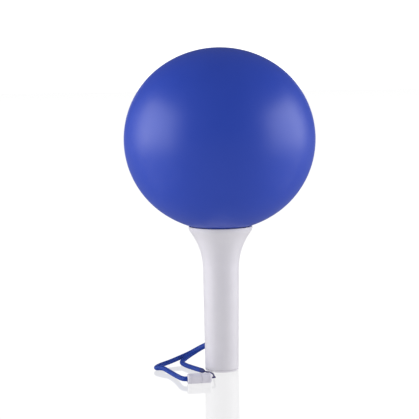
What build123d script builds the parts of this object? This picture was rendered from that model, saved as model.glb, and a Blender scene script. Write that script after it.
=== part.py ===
from build123d import *

import os
from math import acos, atan2, cos, degrees, radians, sin, sqrt, tan

# A hand-held light stick: a globe lamp that twists onto a flared grip, which holds one cell,
# a push switch in its base cap, and a wrist cord with a pull-apart clasp.
# Millimetres. +Z is up and the origin is the centre of the base that the stick stands on.
# -Y is the front. The strap lug is at the back, on +Y.

# Fits
RUNNING_GAP = 0.15  # between pieces that turn or slide on each other
SEAT_GAP = 0.1  # between faces that meet when the cap is closed
LOOSE_GAP = 0.3  # round a piece that drops in

# Cell
CELL_RADIUS = 9.2
CELL_LENGTH = 65.0
CELL_BUTTON_RADIUS = 3.0
CELL_BUTTON_HEIGHT = 1.0

# Base cap and its bayonet
CAP_RIM_HEIGHT = 1.3
CAP_EDGE_RADIUS = 0.9
CAP_FLOOR = 2.0
CAP_PLUG_HEIGHT = 11.2
CAP_POCKET_RADIUS = 6.0
CAP_LUG_HEIGHT = 1.8
CAP_LUG_DEPTH = 0.75
CAP_LUG_ANGLE = 20.0
CAP_TURN = 60.0
SEAL_WIRE_RADIUS = 0.7
SEAM_CHAMFER = 0.25

# Power button and switch
BUTTON_RADIUS = 4.2
BUTTON_RECESS = 0.8
BUTTON_FLANGE = 1.0
BUTTON_TRAVEL = 1.2
STEM_RADIUS = 1.5
SWITCH_WIDTH = 7.0
SWITCH_HEIGHT = 3.4
PLUNGER_RADIUS = 1.6
PLUNGER_REACH = 1.5  # how far the plunger stands out of the switch
BOARD_THICKNESS = 1.0
SWITCH_BOARD_RADIUS = 7.5
RING_NUT_INNER = 5.2
SPRING_HEIGHT = 5.4
SPRING_WIRE_RADIUS = 0.4
SPRING_RADIUS = 4.4
SPRING_TURNS = 3.0

# Grip and cup
GRIP_WALL = 1.5
GRIP_TAPER = 0.75  # how much wider the radius is at the top of the grip
FLARE_RADIUS = 41.0
SEAT_BELOW_CUP = 11.94  # the lamp's seat, below the top of the flare
CUP_RADIUS = 21.0
CUP_WALL = 1.6
LIP_HEIGHT = 2.5
LIP_EDGE_RADIUS = 0.5

# Lamp
CONTACT_THICKNESS = 0.5
CONTACT_RADIUS = 5.0
CONTACT_STEM_RADIUS = 1.2
CARRIER_THICKNESS = 2.5
LAMP_BOARD_THICKNESS = 1.2
SCREW_RADIUS = 0.8
SCREW_LENGTH = 8.0
SCREW_HEAD_RADIUS = 1.5
SCREW_HEAD_HEIGHT = 1.4
SCREW_COUNT = 3
LED_WIDTH = 5.0
LED_HEIGHT = 1.6
LED_PITCH = 8.4
COVER_GAP = 0.23  # inside the heads of the carrier's screws
COVER_WALL = 1.0
COVER_STRAIGHT = 6.8
STRIP_WIDTH = 2.6
STRIP_THICKNESS = 0.35

# Globe and its bayonet
GLOBE_RADIUS = 62.5
GLOBE_FLATNESS = 2.8  # how much less it is from the middle to the top than to the side
GLOBE_WALL = 1.2
GLOBE_GAP = 0.35  # over the lip of the cup
NECK_WALL = 1.2
NECK_LUG_DEPTH = 1.1
NECK_LUG_HEIGHT = 2.0
NECK_LUG_ANGLE = 24.0
NECK_LUG_GAP = 0.3
GLOBE_TURN = 35.0
LOCK_RING_HEIGHT = 3.14
LOCK_RING_LEDGE = 0.5
GASKET_WIDTH = 3.6

# Strap lug
LUG_WIDTH = 7.0
LUG_PLATE = 1.2  # how far its root stands out of the grip
LUG_POCKET = 0.65  # how deep its root is let into the grip
EAR_THICKNESS = 1.8
EAR_GAP = 4.4
EYE_HEIGHT = 15.2  # the middle of the gap
PIN_RADIUS = 1.4
CORD_TO_LUG = 0.6

# Wrist cord, string and clasp
CORD_RADIUS = 1.6
STRING_RADIUS = 0.55
FERRULE_LENGTH = 3.6
FERRULE_WALL = 0.3
CORD_GAP = 0.05  # round a cord in its hole
CLASP_RADIUS = 3.25
CLASP_LENGTH = 15.6
CLASP_PART = 1.3  # where its halves meet, past the middle
CLASP_PIN_RADIUS = 2.1
CLASP_PIN_LENGTH = 5.0
CLASP_HOLE_DEPTH = 2.0
CLASP_EDGE_RADIUS = 1.1
CLASP_CENTRE = (-14.8, -41.7)
CLASP_YAW = 12.0

# The heights of the stack, from the base up
BUTTON_HOLE_RADIUS = BUTTON_RADIUS + RUNNING_GAP
FLANGE_LOW = CAP_FLOOR + SEAT_GAP / 2
STEM_LOW = FLANGE_LOW + BUTTON_FLANGE
SWITCH_LOW = STEM_LOW + BUTTON_TRAVEL + PLUNGER_REACH + 0.3
SWITCH_BOARD_LOW = SWITCH_LOW + SWITCH_HEIGHT
RING_NUT_LOW = SWITCH_BOARD_LOW + BOARD_THICKNESS
PLUG_TOP = CAP_RIM_HEIGHT + CAP_PLUG_HEIGHT
CELL_LOW = RING_NUT_LOW + SPRING_HEIGHT + SEAT_GAP
SEAT_Z = CELL_LOW + CELL_LENGTH + CONTACT_THICKNESS
BORE_RADIUS = CELL_RADIUS + LOOSE_GAP
FOOT_RADIUS = BORE_RADIUS + GRIP_WALL
GRIP_TOP_RADIUS = FOOT_RADIUS + GRIP_TAPER
FLARE_CENTRE = GRIP_TOP_RADIUS + FLARE_RADIUS
FLARE_HIGH = SEAT_Z + SEAT_BELOW_CUP
FLARE_LOW = FLARE_HIGH - sqrt(FLARE_RADIUS**2 - (FLARE_CENTRE - CUP_RADIUS) ** 2)
LIP_Z = FLARE_HIGH + LIP_HEIGHT
LIP_BORE = CUP_RADIUS - CUP_WALL

# The globe's outline: an arc round the side, tangent to wider arcs over the top and under
GLOBE_HALF_HEIGHT = GLOBE_RADIUS - GLOBE_FLATNESS
SIDE_ARC = GLOBE_HALF_HEIGHT - 0.43 * GLOBE_FLATNESS
SIDE_CENTRE = GLOBE_RADIUS - SIDE_ARC
CROWN_ARC = (GLOBE_HALF_HEIGHT**2 + SIDE_CENTRE**2 - SIDE_ARC**2) / (
    2 * (GLOBE_HALF_HEIGHT - SIDE_ARC)
)
CROWN_DROP = CROWN_ARC - GLOBE_HALF_HEIGHT
GLOBE_CENTRE = LIP_Z + GLOBE_GAP + sqrt(CROWN_ARC**2 - CUP_RADIUS**2) - CROWN_DROP
LAMP_BOARD_LOW = SEAT_Z + CARRIER_THICKNESS
LAMP_TOP = LAMP_BOARD_LOW + LAMP_BOARD_THICKNESS


def cup_inside(z):
    """The radius inside the cup at height z: the flare's arc, one wall further in."""
    return FLARE_CENTRE - sqrt((FLARE_RADIUS + CUP_WALL) ** 2 - (z - FLARE_LOW) ** 2)


def globe_underside(radius):
    """The height of the globe's outer face at this radius, on its lower half."""
    return GLOBE_CENTRE + CROWN_DROP - sqrt(CROWN_ARC**2 - radius**2)


# The globe's bayonet: a ring held in the cup, over the lugs on the globe's neck
LOCK_RING_LOW = FLARE_HIGH - LOCK_RING_HEIGHT
LOCK_RING_RADIUS = cup_inside(LOCK_RING_LOW) + LOCK_RING_LEDGE
NECK_LUG_TOP = LOCK_RING_LOW - NECK_LUG_GAP
NECK_LOW = NECK_LUG_TOP - NECK_LUG_HEIGHT
NECK_LUG_RADIUS = cup_inside(NECK_LOW) - LOOSE_GAP
NECK_RADIUS = NECK_LUG_RADIUS - NECK_LUG_DEPTH
CARRIER_RADIUS = cup_inside(SEAT_Z) - RUNNING_GAP
SCREW_CIRCLE = (BORE_RADIUS + CARRIER_RADIUS) / 2
COVER_RADIUS = SCREW_CIRCLE - SCREW_HEAD_RADIUS - COVER_GAP

# The cap's bayonet
PLUG_RADIUS = BORE_RADIUS - RUNNING_GAP
CAP_LUG_RADIUS = PLUG_RADIUS + CAP_LUG_DEPTH
CAP_SLOT_RADIUS = CAP_LUG_RADIUS + RUNNING_GAP
SEAL_LOW = CAP_RIM_HEIGHT + 1.3
CAP_LUG_LOW = SEAL_LOW + 2 * SEAL_WIRE_RADIUS + 2.2

# The eye's pin stands clear of the lug's root by the cord that goes round it
LUG_BACK = FOOT_RADIUS - LUG_POCKET
LUG_ROOT = FOOT_RADIUS + LUG_PLATE
CORD_BEND = PIN_RADIUS + CORD_RADIUS + 0.2
PIN_Y = LUG_ROOT + CORD_TO_LUG + CORD_RADIUS + CORD_BEND


def disc(radius, low, high, x=0.0, y=0.0):
    """A round bar from low to high, on the Z axis or beside it."""
    return Pos(x, y, (low + high) / 2) * Cylinder(radius, high - low)


def ring(outer, inner, low, high):
    """A tube about the Z axis."""
    return disc(outer, low, high) - disc(inner, low - 1, high + 1)


def block(x_size, y_low, y_high, low, high):
    """A box centred on the YZ plane."""
    middle = Pos(0, (y_low + y_high) / 2, (low + high) / 2)
    return middle * Box(x_size, y_high - y_low, high - low)


def arc_block(outer, inner, low, high, start, width):
    """A piece of a tube, from the angle start through the angle width."""
    section = Rectangle(outer - inner, high - low)
    placed = Plane.XZ * Pos((outer + inner) / 2, (low + high) / 2) * section
    return Rot(0, 0, start) * revolve(placed, Axis.Z, width)


def turned(*edges):
    """A body of revolution about Z from a closed outline of radius and height."""
    return revolve(Plane.XZ * make_face(list(edges)), Axis.Z)


def polar(radius, angle):
    return radius * cos(radians(angle)), radius * sin(radians(angle))


def three_times(make):
    """The same shape at three even places about Z."""
    return [Rot(0, 0, turn) * make for turn in (0, 120, 240)]


# Globe -----------------------------------------------------------------------------------


def bulb(inset, neck, low):
    """A solid globe, this far inside the outer face, with a solid neck down to low."""
    crown, side = CROWN_ARC - inset, SIDE_ARC - inset
    meet = degrees(atan2(CROWN_DROP, SIDE_CENTRE))
    start = degrees(acos(neck / crown))
    under = CenterArc((0, GLOBE_CENTRE + CROWN_DROP), crown, -start, start - meet)
    middle = CenterArc((SIDE_CENTRE, GLOBE_CENTRE), side, -meet, 2 * meet)
    top = CenterArc((0, GLOBE_CENTRE - CROWN_DROP), crown, meet, 90 - meet)
    return turned(under, middle, top, Polyline(top @ 1, (0, low), (neck, low), under @ 0))


def globe_shell():
    """Hollow globe with an open neck and three lugs that hook under the lock ring."""
    neck_inner = NECK_RADIUS - NECK_WALL
    shell = bulb(0, NECK_RADIUS, NECK_LOW) - bulb(GLOBE_WALL, neck_inner, NECK_LOW - 1)
    lug = arc_block(
        NECK_LUG_RADIUS, NECK_RADIUS - NECK_WALL / 2, NECK_LOW, NECK_LUG_TOP,
        -NECK_LUG_ANGLE / 2, NECK_LUG_ANGLE,
    )
    return shell + three_times(lug)


def lock_ring():
    """Ring in the cup with three ways in for the globe's lugs, and stops at both ends."""
    inner = NECK_RADIUS + RUNNING_GAP
    body = ring(LOCK_RING_RADIUS, inner, LOCK_RING_LOW, FLARE_HIGH)
    way_in = arc_block(
        NECK_LUG_RADIUS + LOOSE_GAP, inner - 1, LOCK_RING_LOW - 1, FLARE_HIGH + 1,
        GLOBE_TURN - NECK_LUG_ANGLE / 2 - 2, NECK_LUG_ANGLE + 4,
    )
    half = NECK_LUG_ANGLE / 2
    stops = [
        arc_block(
            NECK_LUG_RADIUS, inner + 0.1, NECK_LOW + LOOSE_GAP, LOCK_RING_LOW + 1, start, 4
        )
        for start in (-half - 5, GLOBE_TURN + half + 3)
    ]
    body -= three_times(way_in)
    for stop in stops:
        body += three_times(stop)
    return body


def globe_gasket():
    """Foam ring that the globe presses on, seated on the ledge inside the lip."""
    outer = LIP_BORE - LOOSE_GAP / 2
    inner = outer - GASKET_WIDTH
    return ring(outer, inner, FLARE_HIGH, globe_underside(inner) - SEAT_GAP)


# Grip --------------------------------------------------------------------------------------


def grip_shell():
    """Tapered grip and flared cup in one moulding, open at both ends."""
    low = CAP_RIM_HEIGHT + SEAT_GAP
    lip_low = globe_underside(LIP_BORE) - GLOBE_GAP
    ledge = cup_inside(LOCK_RING_LOW)
    arc_middle = FLARE_LOW + (FLARE_HIGH - FLARE_LOW) * 0.55
    flare_middle = FLARE_CENTRE - sqrt(FLARE_RADIUS**2 - (arc_middle - FLARE_LOW) ** 2)
    cup_middle = (SEAT_Z + LOCK_RING_LOW) / 2
    flare = ThreePointArc(
        (GRIP_TOP_RADIUS, FLARE_LOW), (flare_middle, arc_middle), (CUP_RADIUS, FLARE_HIGH)
    )
    cup = ThreePointArc(
        (ledge, LOCK_RING_LOW), (cup_inside(cup_middle), cup_middle),
        (cup_inside(SEAT_Z), SEAT_Z),
    )
    outside = Polyline(
        (BORE_RADIUS, low), (FOOT_RADIUS - SEAM_CHAMFER, low),
        (FOOT_RADIUS, low + SEAM_CHAMFER), (GRIP_TOP_RADIUS, FLARE_LOW),
    )
    lip = Polyline(
        (CUP_RADIUS, FLARE_HIGH), (CUP_RADIUS, LIP_Z - LIP_EDGE_RADIUS),
        (CUP_RADIUS - LIP_EDGE_RADIUS / 3, LIP_Z - LIP_EDGE_RADIUS / 3),
        (CUP_RADIUS - LIP_EDGE_RADIUS, LIP_Z - LIP_EDGE_RADIUS / 3),
        (LIP_BORE, lip_low), (LIP_BORE, FLARE_HIGH), (LOCK_RING_RADIUS, FLARE_HIGH),
        (LOCK_RING_RADIUS, LOCK_RING_LOW), (ledge, LOCK_RING_LOW),
    )
    inside = Polyline(
        (cup_inside(SEAT_Z), SEAT_Z), (BORE_RADIUS, SEAT_Z), (BORE_RADIUS, low)
    )
    shell = turned(outside, flare, lip, cup, inside)
    half = CAP_LUG_ANGLE / 2 + 1
    slot_low, slot_high = CAP_LUG_LOW - SEAT_GAP, CAP_LUG_LOW + CAP_LUG_HEIGHT + SEAT_GAP
    track = arc_block(
        CAP_SLOT_RADIUS, BORE_RADIUS - 1, slot_low, slot_high, -half, CAP_TURN + 2 * half
    )
    way_in = arc_block(
        CAP_SLOT_RADIUS, BORE_RADIUS - 1, low - 1, slot_high, CAP_TURN - half, 2 * half
    )
    shell -= three_times(track)
    shell -= three_times(way_in)
    channel = STRIP_THICKNESS + SEAT_GAP
    shell -= block(
        STRIP_WIDTH + 2 * SEAT_GAP, -BORE_RADIUS - channel, -BORE_RADIUS + 1,
        PLUG_TOP - SEAT_GAP, SEAT_Z + 1,
    )
    shell -= block(LUG_WIDTH, LUG_BACK, FOOT_RADIUS + 2, *lug_span())
    for x, y in screw_places():
        shell -= disc(
            SCREW_RADIUS + SEAT_GAP / 2, LAMP_TOP - SCREW_LENGTH - 0.5, SEAT_Z + 1, x, y
        )
    return shell


def lug_span():
    """The lowest and highest points of the strap lug."""
    half = EAR_GAP / 2 + EAR_THICKNESS
    return EYE_HEIGHT - half, EYE_HEIGHT + half


def strap_lug():
    """Root plate let into the back of the grip, with two ears for the eye's pin."""
    low, high = lug_span()
    root = block(LUG_WIDTH, LUG_BACK, LUG_ROOT, low, high)
    lug = root
    for ear_low in (low, high - EAR_THICKNESS):
        ear_high = ear_low + EAR_THICKNESS
        lug += block(LUG_WIDTH, LUG_ROOT - 0.5, PIN_Y, ear_low, ear_high)
        lug += disc(LUG_WIDTH / 2, ear_low, ear_high, 0, PIN_Y)
    return lug - disc(PIN_RADIUS, low - 1, high + 1, 0, PIN_Y)


def strap_pin():
    low, high = lug_span()
    pin = disc(PIN_RADIUS, low - 0.3, high + 0.3, 0, PIN_Y)
    return chamfer(pin.edges().filter_by(GeomType.CIRCLE), 0.2)


# Lamp --------------------------------------------------------------------------------------


def screw_places():
    return [polar(SCREW_CIRCLE, 90 + 360 / SCREW_COUNT * n) for n in range(SCREW_COUNT)]


def lamp_carrier():
    """Round plate on the seat at the top of the cell's bore."""
    plate = disc(CARRIER_RADIUS, SEAT_Z, LAMP_BOARD_LOW)
    plate -= disc(CONTACT_STEM_RADIUS, SEAT_Z - 1, LAMP_BOARD_LOW + 1)
    notch = STRIP_THICKNESS + SEAT_GAP
    plate -= block(
        STRIP_WIDTH + 2 * SEAT_GAP, -BORE_RADIUS - notch, -BORE_RADIUS + SEAT_GAP,
        SEAT_Z - 1, LAMP_BOARD_LOW + 1,
    )
    for x, y in screw_places():
        plate -= disc(SCREW_RADIUS + SEAT_GAP, SEAT_Z - 1, LAMP_BOARD_LOW + 1, x, y)
    return plate


def led_board():
    plate = disc(CARRIER_RADIUS - LOOSE_GAP, LAMP_BOARD_LOW, LAMP_TOP)
    for x, y in screw_places():
        plate -= disc(SCREW_RADIUS + SEAT_GAP, LAMP_BOARD_LOW - 1, LAMP_TOP + 1, x, y)
    return plate


def leds():
    """Four square lamps in a cross, each with a shallow round window."""
    chips = []
    for turn in range(4):
        x, y = polar(LED_PITCH / 2, 90 * turn)
        chip = Pos(x, y, LAMP_TOP + LED_HEIGHT / 2) * Box(LED_WIDTH, LED_WIDTH, LED_HEIGHT)
        top = LAMP_TOP + LED_HEIGHT
        chips.append(chip - disc(LED_WIDTH * 0.36, top - 0.25, top + 1, x, y))
    return Compound(children=chips)


def board_parts():
    """The small parts round the edge of the lamp's board, between the screws."""
    parts = []
    for angle in (10, 30, 50, 130, 150, 170):
        place = Rot(0, 0, angle) * Pos(SCREW_CIRCLE, 0, LAMP_TOP + 0.35)
        parts.append(place * Box(1.2, 2.0, 0.7))
    return Compound(children=parts)


def carrier_screws():
    """Self-tapping screws with pan heads."""
    screws = []
    for x, y in screw_places():
        shank = disc(SCREW_RADIUS, LAMP_TOP - SCREW_LENGTH, LAMP_TOP, x, y)
        head = disc(SCREW_HEAD_RADIUS, LAMP_TOP, LAMP_TOP + SCREW_HEAD_HEIGHT, x, y)
        head = fillet(head.edges().group_by(Axis.Z)[-1], 0.5)
        slot = Pos(x, y, LAMP_TOP + SCREW_HEAD_HEIGHT) * Box(2.2, 0.4, 0.9)
        cross = Pos(x, y, LAMP_TOP + SCREW_HEAD_HEIGHT) * Box(0.4, 2.2, 0.9)
        screws.append(shank + head - slot - cross)
    return Compound(children=screws)


def lamp_cover():
    """Diffuser dome over the lamps, inside the globe's neck."""
    shoulder = LAMP_TOP + COVER_STRAIGHT
    outer = disc(COVER_RADIUS, LAMP_TOP, shoulder) + Pos(0, 0, shoulder) * Sphere(COVER_RADIUS)
    hollow = COVER_RADIUS - COVER_WALL
    inner = disc(hollow, LAMP_TOP - 1, shoulder) + Pos(0, 0, shoulder) * Sphere(hollow)
    below = disc(COVER_RADIUS + 1, shoulder - 3 * COVER_RADIUS, LAMP_TOP)
    return outer - inner - below


def top_contact():
    """Plate over the cell's button, with a stem up to the lamp's board."""
    plate = disc(CONTACT_RADIUS, SEAT_Z - CONTACT_THICKNESS, SEAT_Z)
    return plate + disc(CONTACT_STEM_RADIUS, SEAT_Z - 0.2, LAMP_BOARD_LOW)


def ground_strip():
    """Strip down the bore, from the lamp's board to a foot on the ring nut."""
    outer = -BORE_RADIUS - STRIP_THICKNESS
    foot_low = PLUG_TOP + SEAT_GAP / 2
    strip = block(STRIP_WIDTH, outer, outer + STRIP_THICKNESS, foot_low, LAMP_BOARD_LOW)
    foot_high = foot_low + STRIP_THICKNESS
    return strip + block(STRIP_WIDTH, outer, -SWITCH_BOARD_RADIUS + 0.6, foot_low, foot_high)


# Cell --------------------------------------------------------------------------------------


def battery_can():
    can = disc(CELL_RADIUS, CELL_LOW, CELL_LOW + CELL_LENGTH - CELL_BUTTON_HEIGHT)
    return fillet(can.edges().filter_by(GeomType.CIRCLE), 0.6)


def battery_button():
    high = CELL_LOW + CELL_LENGTH
    return disc(CELL_BUTTON_RADIUS, high - CELL_BUTTON_HEIGHT, high)


# Base cap ------------------------------------------------------------------------------------


def base_cap():
    """Foot of the stick with a hollow plug, three lugs and a groove for the seal."""
    edge = FOOT_RADIUS - CAP_EDGE_RADIUS
    corner = CAP_EDGE_RADIUS * (1 - sqrt(0.5))
    round_edge = ThreePointArc(
        (edge, 0), (FOOT_RADIUS - corner, corner), (FOOT_RADIUS, CAP_EDGE_RADIUS)
    )
    groove = PLUG_RADIUS - 2 * SEAL_WIRE_RADIUS + SEAT_GAP / 2
    seal_high = SEAL_LOW + 2 * SEAL_WIRE_RADIUS + SEAT_GAP
    outline = Polyline(
        (FOOT_RADIUS, CAP_EDGE_RADIUS), (FOOT_RADIUS, CAP_RIM_HEIGHT - SEAM_CHAMFER),
        (FOOT_RADIUS - SEAM_CHAMFER, CAP_RIM_HEIGHT), (PLUG_RADIUS, CAP_RIM_HEIGHT),
        (PLUG_RADIUS, SEAL_LOW), (groove, SEAL_LOW), (groove, seal_high),
        (PLUG_RADIUS, seal_high), (PLUG_RADIUS, PLUG_TOP),
        (SWITCH_BOARD_RADIUS + SEAT_GAP, PLUG_TOP),
        (SWITCH_BOARD_RADIUS + SEAT_GAP, SWITCH_BOARD_LOW),
        (CAP_POCKET_RADIUS, SWITCH_BOARD_LOW), (CAP_POCKET_RADIUS, CAP_FLOOR),
        (BUTTON_HOLE_RADIUS, CAP_FLOOR), (BUTTON_HOLE_RADIUS, 0), (edge, 0),
    )
    lug = arc_block(
        CAP_LUG_RADIUS, PLUG_RADIUS - 0.5, CAP_LUG_LOW, CAP_LUG_LOW + CAP_LUG_HEIGHT,
        -CAP_LUG_ANGLE / 2, CAP_LUG_ANGLE,
    )
    return turned(round_edge, outline) + three_times(lug)


def cap_seal():
    """Rubber ring in the plug's groove."""
    major = PLUG_RADIUS - SEAL_WIRE_RADIUS + SEAT_GAP
    return Pos(0, 0, SEAL_LOW + SEAL_WIRE_RADIUS + SEAT_GAP / 2) * Torus(
        major, SEAL_WIRE_RADIUS
    )


def power_button():
    """Push button in the base, with a flange that keeps it in and a stem to the switch."""
    face = disc(BUTTON_RADIUS, BUTTON_RECESS, FLANGE_LOW + 0.2)
    face = fillet(face.edges().group_by(Axis.Z)[0], 0.5)
    flange = disc(CAP_POCKET_RADIUS - LOOSE_GAP, FLANGE_LOW, STEM_LOW)
    stem = disc(STEM_RADIUS, STEM_LOW - 0.2, SWITCH_LOW - PLUNGER_REACH)
    return face + flange + stem


def switch_plunger():
    low = SWITCH_LOW - PLUNGER_REACH
    return disc(PLUNGER_RADIUS, low, SWITCH_LOW + SWITCH_HEIGHT - BUTTON_TRAVEL - 0.9)


def switch_body():
    """Square push switch, open below for its plunger."""
    middle = SWITCH_LOW + SWITCH_HEIGHT / 2
    body = Pos(0, 0, middle) * Box(SWITCH_WIDTH, SWITCH_WIDTH, SWITCH_HEIGHT)
    hole_top = SWITCH_LOW + SWITCH_HEIGHT - 0.7
    return body - disc(PLUNGER_RADIUS + 0.08, SWITCH_LOW - 1, hole_top)


def switch_board():
    return disc(SWITCH_BOARD_RADIUS, SWITCH_BOARD_LOW, RING_NUT_LOW)


def ring_nut():
    """Brass ring that clamps the switch's board, with two notches for a spanner."""
    nut = ring(SWITCH_BOARD_RADIUS, RING_NUT_INNER, RING_NUT_LOW, PLUG_TOP)
    notch = Pos(0, 0, PLUG_TOP) * Box(2 * SWITCH_BOARD_RADIUS + 2, 1.6, 1.4)
    return nut - notch


def contact_spring():
    """Compression spring between the switch's board and the cell."""
    rise = SPRING_HEIGHT - 2 * SPRING_WIRE_RADIUS
    start = RING_NUT_LOW + SPRING_WIRE_RADIUS
    path = Helix(rise / SPRING_TURNS, rise, SPRING_RADIUS, center=(0, 0, start))
    wire = Plane(origin=path @ 0, z_dir=path % 0) * Circle(SPRING_WIRE_RADIUS)
    return sweep(wire, path=path, is_frenet=True)


# Wrist cord ------------------------------------------------------------------------------------

CLASP = Pos(*CLASP_CENTRE, CLASP_RADIUS) * Rot(0, 0, CLASP_YAW) * Rot(0, 90, 0)
# The clasp's own axis: minus is the socket's end, for the cord, and plus is the plug's.


def clasp_point(along):
    """The point this far along the clasp's axis from its middle."""
    x, y = polar(along, CLASP_YAW)
    return CLASP_CENTRE[0] + x, CLASP_CENTRE[1] + y, CLASP_RADIUS


HALF_CLASP = CLASP_LENGTH / 2

# From the clasp's socket out to the tip of the loop, back behind the grip, round the pin in
# the lug, and forward along the floor to the ferrule at the grip's left.
CORD_ROUTE = [
    clasp_point(CLASP_HOLE_DEPTH - HALF_CLASP),
    clasp_point(-1.7 - HALF_CLASP),
    (-26.6, -38.6, 2.9),
    (-28.6, -30.2, 2.1),
    (-31.8, -20.4, 1.7),
    (-35.0, -11.6, 1.7),
    (-39.0, -4.6, 2.6),
    (-44.6, -1.6, 1.7),
    (-41.0, 6.2, 2.2),
    (-35.6, 13.2, 2.6),
    (-29.4, PIN_Y + 4.4, 3.5),
    (-21.4, PIN_Y + 12.6, 5.4),
    (-12.0, PIN_Y + 14.4, EYE_HEIGHT - 4.8),
    (-3.0, PIN_Y + 7.6, EYE_HEIGHT - 0.6),
    (4.5, PIN_Y + 0.4, EYE_HEIGHT),
    (0.4, PIN_Y - 4.5, EYE_HEIGHT),
    (-5.6, PIN_Y + 0.6, EYE_HEIGHT - 0.3),
    (-12.3, PIN_Y + 6.1, EYE_HEIGHT - 4.2),
    (-18.4, PIN_Y + 7.6, 7.0),
    (-23.8, PIN_Y + 5.0, 3.9),
    (-27.6, 17.0, 1.7),
    (-24.6, 8.6, 1.6),
    (-20.2, 0.6, 1.6),
    (-13.6, -9.6, 1.6),
]

# The ferrule carries on along the cord's last run.
CORD_TAIL = Vector(*CORD_ROUTE[-1])
TAIL_WAY = (CORD_TAIL - Vector(*CORD_ROUTE[-2])).normalized()
FERRULE_END = CORD_TAIL + TAIL_WAY * FERRULE_LENGTH

# From the ferrule past the front of the foot and into the clasp's plug.
STRING_ROUTE = [
    tuple(FERRULE_END),
    tuple(FERRULE_END + TAIL_WAY * 1.8),
    (-8.0, -14.3, 1.2),
    (-6.2, -17.2, 1.0),
    (-5.6, -22.2, 1.0),
    (-5.4, -28.0, 1.4),
    (-5.1, -33.4, 2.2),
    (-4.7, -37.9, 3.0),
    clasp_point(HALF_CLASP + 1.5),
    clasp_point(HALF_CLASP - CLASP_HOLE_DEPTH),
]


def corner_radii(points):
    """The arc at each corner of a route: as large as its two runs allow."""
    radii = []
    for before, corner, after in zip(points, points[1:], points[2:]):
        run_in = Vector(*corner) - Vector(*before)
        run_out = Vector(*after) - Vector(*corner)
        half_turn = radians(run_in.get_angle(run_out)) / 2
        radii.append(0.45 * min(run_in.length, run_out.length) / tan(half_turn))
    return radii


def cord_tube(name, points, radius):
    """A tube along straight runs joined by tangent arcs."""
    radii = corner_radii(points)
    path = FilletPolyline(*points, radius=radii)
    section = Plane(origin=path @ 0, z_dir=path % 0) * Circle(radius)
    tube = sweep(section, path=path)
    expected = section.area * path.length
    print(f"{name}: length {path.length:.1f}, radii {[round(r, 1) for r in radii]}")
    print(f"{name}: volume {tube.volume:.1f}, section x length {expected:.1f}")
    return tube


def wrist_cord():
    return cord_tube("wrist_cord", CORD_ROUTE, CORD_RADIUS)


def wrist_string():
    return cord_tube("wrist_string", STRING_ROUTE, STRING_RADIUS)


def cord_ferrule():
    """Tapered sleeve where the string leaves the thick cord."""
    axis = Plane(origin=CORD_TAIL, z_dir=TAIL_WAY)
    narrow = STRING_RADIUS + FERRULE_WALL
    return axis * Pos(0, 0, FERRULE_LENGTH / 2) * Cone(CORD_RADIUS, narrow, FERRULE_LENGTH)


def clasp_socket():
    """Half of the clasp with the cord's hole at one end and a bore for the pin."""
    length = HALF_CLASP + CLASP_PART - SEAT_GAP
    body = Pos(0, 0, length / 2 - HALF_CLASP) * Cylinder(CLASP_RADIUS, length)
    body = fillet(body.edges().group_by(Axis.Z)[0], CLASP_EDGE_RADIUS)
    body -= disc(CORD_RADIUS + CORD_GAP, -HALF_CLASP - 1, CLASP_HOLE_DEPTH - HALF_CLASP)
    bore_low = CLASP_PART - CLASP_PIN_LENGTH - LOOSE_GAP
    body -= disc(CLASP_PIN_RADIUS + 0.08, bore_low, CLASP_PART + 1)
    return CLASP * body


def clasp_plug():
    """The other half, with a pin into the socket and the string's hole in its end."""
    length = HALF_CLASP - CLASP_PART
    body = Pos(0, 0, CLASP_PART + length / 2) * Cylinder(CLASP_RADIUS, length)
    body = fillet(body.edges().group_by(Axis.Z)[-1], CLASP_EDGE_RADIUS)
    body -= disc(STRING_RADIUS + CORD_GAP, HALF_CLASP - CLASP_HOLE_DEPTH, HALF_CLASP + 1)
    pin = disc(CLASP_PIN_RADIUS, CLASP_PART - CLASP_PIN_LENGTH, CLASP_PART + 0.5)
    pin = chamfer(pin.edges().group_by(Axis.Z)[0], 0.5)
    return CLASP * (body + pin)


NODES = [
    globe_shell, lock_ring, globe_gasket,
    grip_shell, strap_lug, strap_pin,
    lamp_carrier, led_board, leds, board_parts, carrier_screws, lamp_cover,
    top_contact, ground_strip, battery_can, battery_button,
    base_cap, cap_seal, power_button, switch_plunger, switch_body, switch_board,
    ring_nut, contact_spring,
    wrist_cord, cord_ferrule, wrist_string, clasp_socket, clasp_plug,
]

os.makedirs("parts", exist_ok=True)
for make_node in NODES:
    export_step(make_node(), f"parts/{make_node.__name__}.step")
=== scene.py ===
from math import acos, atan2, cos, degrees, hypot, pi, radians, sin, sqrt

import bmesh
import bpy
from mathutils import Matrix, Vector


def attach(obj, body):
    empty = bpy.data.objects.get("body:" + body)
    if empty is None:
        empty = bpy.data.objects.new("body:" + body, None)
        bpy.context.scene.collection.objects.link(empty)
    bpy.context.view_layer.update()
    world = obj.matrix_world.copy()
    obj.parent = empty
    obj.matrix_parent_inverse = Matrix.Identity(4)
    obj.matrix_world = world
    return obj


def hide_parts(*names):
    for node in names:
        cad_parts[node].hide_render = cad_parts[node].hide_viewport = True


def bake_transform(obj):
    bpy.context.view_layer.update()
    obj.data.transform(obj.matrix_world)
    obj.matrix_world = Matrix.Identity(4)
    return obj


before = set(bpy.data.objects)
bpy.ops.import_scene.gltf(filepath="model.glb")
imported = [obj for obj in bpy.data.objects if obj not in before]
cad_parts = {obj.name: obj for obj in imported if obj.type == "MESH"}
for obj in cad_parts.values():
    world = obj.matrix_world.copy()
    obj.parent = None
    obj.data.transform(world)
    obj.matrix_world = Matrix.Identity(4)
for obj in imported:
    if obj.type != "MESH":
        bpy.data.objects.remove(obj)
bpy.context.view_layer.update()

# View
# The stick is seen from the front, from near the height of its top and about 0.9 m away,
# through a long lens that looks a little down. It leans a very little to one side.

EYE = (-0.0071, -0.925, 0.193)
LOOK_DOWN = 5.34
LEAN = -0.65
LENS = 121.8

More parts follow.
